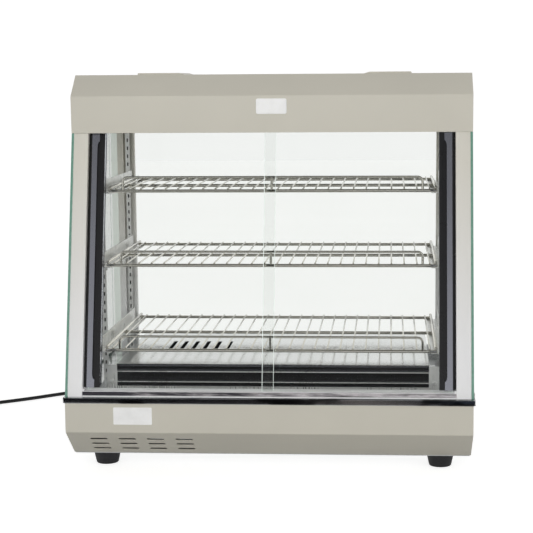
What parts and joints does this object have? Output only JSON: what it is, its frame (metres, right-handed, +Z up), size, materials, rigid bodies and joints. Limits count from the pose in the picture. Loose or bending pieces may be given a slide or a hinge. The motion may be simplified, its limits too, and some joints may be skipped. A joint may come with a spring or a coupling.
{
  "type": "hot food display case",
  "caption": "Countertop heated glass display case with leaning sliding doors, wire shelves, heated base box, lit canopy, rubber feet and a mains cord.",
  "frame": {"origin": "bottom centre of the case's bounding box, at the underside of the feet, measured without the mains cord", "axes": "+X along the width, to the right of someone facing the sliding doors; +Y from the sliding doors towards the fixed rear glass; +Z up"},
  "size_m": [1.095, 0.6422, 0.646],
  "materials": {
    "painted_steel": "satin powder coat, light greige",
    "galvanised_steel": "plain mill finish",
    "polished_steel": "mirror polished stainless steel",
    "anodised_aluminium": "satin silver anodised extrusion",
    "chromed_wire": "bright chromed steel wire",
    "bright_steel_strip": "bright zinc plated strip",
    "float_glass": "clear float glass with a green edge",
    "lamp_glass": "white coated tube",
    "black_moulding": "satin black profile",
    "black_gloss": "moulded switch part",
    "black_rubber": "moulded rubber",
    "cord_sheath": "black flexible sheath",
    "heater_sheath": "heat-darkened tube",
    "white_plate": "plain white plate",
    "white_label": "plain white self-adhesive label",
    "white_ceramic_holder": "lamp holder moulding",
    "red_lens": "translucent red lens",
    "zinc_screws": "zinc plated screws",
    "tie_plastic": "black cable tie"
  },
  "bodies": {
    "case": {"base_shell": "painted_steel", "bottom_plate": "galvanised_steel", "feet": "black_rubber", "foot_screws": "zinc_screws", "trim_band": "polished_steel", "well_pan": "polished_steel", "plenum_body": "polished_steel", "plenum_deck": "polished_steel", "plenum_screws": "zinc_screws", "heater_element": "heater_sheath", "heater_supports": "galvanised_steel", "lower_track": "anodised_aluminium", "upper_track": "anodised_aluminium", "front_post_right": "anodised_aluminium", "front_post_left": "anodised_aluminium", "rear_post_right": "anodised_aluminium", "rear_post_left": "anodised_aluminium", "side_glass_right": "float_glass", "side_glass_left": "float_glass", "rear_glass": "float_glass", "rear_lower_rail": "anodised_aluminium", "rear_upper_rail": "anodised_aluminium", "glass_clips": "zinc_screws", "front_standard_right": "bright_steel_strip", "front_standard_left": "bright_steel_strip", "rear_standard_right": "bright_steel_strip", "rear_standard_left": "bright_steel_strip", "bracket_bottom_right": "bright_steel_strip", "bracket_bottom_left": "bright_steel_strip", "bracket_middle_right": "bright_steel_strip", "bracket_middle_left": "bright_steel_strip", "bracket_top_right": "bright_steel_strip", "bracket_top_left": "bright_steel_strip", "canopy_shell": "painted_steel", "canopy_liner": "galvanised_steel", "lamp_tube": "lamp_glass", "lamp_sockets": "white_ceramic_holder", "roof_cover_right": "painted_steel", "roof_cover_left": "painted_steel", "badge_plate": "white_plate", "rating_label": "white_label", "thermostat_body": "white_ceramic_holder", "light_switch_housing": "black_gloss", "heat_switch_housing": "black_gloss", "pilot_lamp": "red_lens", "cord_gland": "black_rubber", "supply_cord": "cord_sheath", "cord_coil": "cord_sheath", "cord_tie": "tie_plastic", "cord_plug": "black_moulding"},
    "door_left": {"door_left_glass": "float_glass", "door_left_handle": "black_moulding"},
    "door_right": {"door_right_glass": "float_glass", "door_right_handle": "black_moulding"},
    "lower_shelf": {"shelf_bottom": "chromed_wire"},
    "middle_shelf": {"shelf_middle": "chromed_wire"},
    "upper_shelf": {"shelf_top": "chromed_wire"},
    "knob": {"thermostat_knob": "black_moulding"},
    "light_key": {"light_rocker": "black_gloss"},
    "heat_key": {"heat_rocker": "black_gloss"}
  },
  "joints": [
    {"name": "left_door_slide", "type": "slide", "parent": "case", "child": "door_left", "axis": [1, 0, 0], "range_m": [0, 0.262]},
    {"name": "right_door_slide", "type": "slide", "parent": "case", "child": "door_right", "axis": [1, 0, 0], "range_m": [-0.262, 0]},
    {"name": "lower_shelf_lift", "type": "slide", "parent": "case", "child": "lower_shelf", "axis": [0, 0, 1], "range_m": [0, 0.03]},
    {"name": "middle_shelf_lift", "type": "slide", "parent": "case", "child": "middle_shelf", "axis": [0, 0, 1], "range_m": [0, 0.008]},
    {"name": "upper_shelf_lift", "type": "slide", "parent": "case", "child": "upper_shelf", "axis": [0, 0, 1], "range_m": [0, 0.012]},
    {"name": "thermostat_turn", "type": "hinge", "parent": "case", "child": "knob", "pos_m": [0.15, 0.2, 0.097], "axis": [0, 1, 0], "range_deg": [0, 270]},
    {"name": "light_switch_rock", "type": "hinge", "parent": "case", "child": "light_key", "pos_m": [0.104, 0.197, 0.097], "axis": [0, 0, 1], "range_deg": [0, 14]},
    {"name": "heat_switch_rock", "type": "hinge", "parent": "case", "child": "heat_key", "pos_m": [0.062, 0.197, 0.097], "axis": [0, 0, 1], "range_deg": [0, 14]}
  ]
}
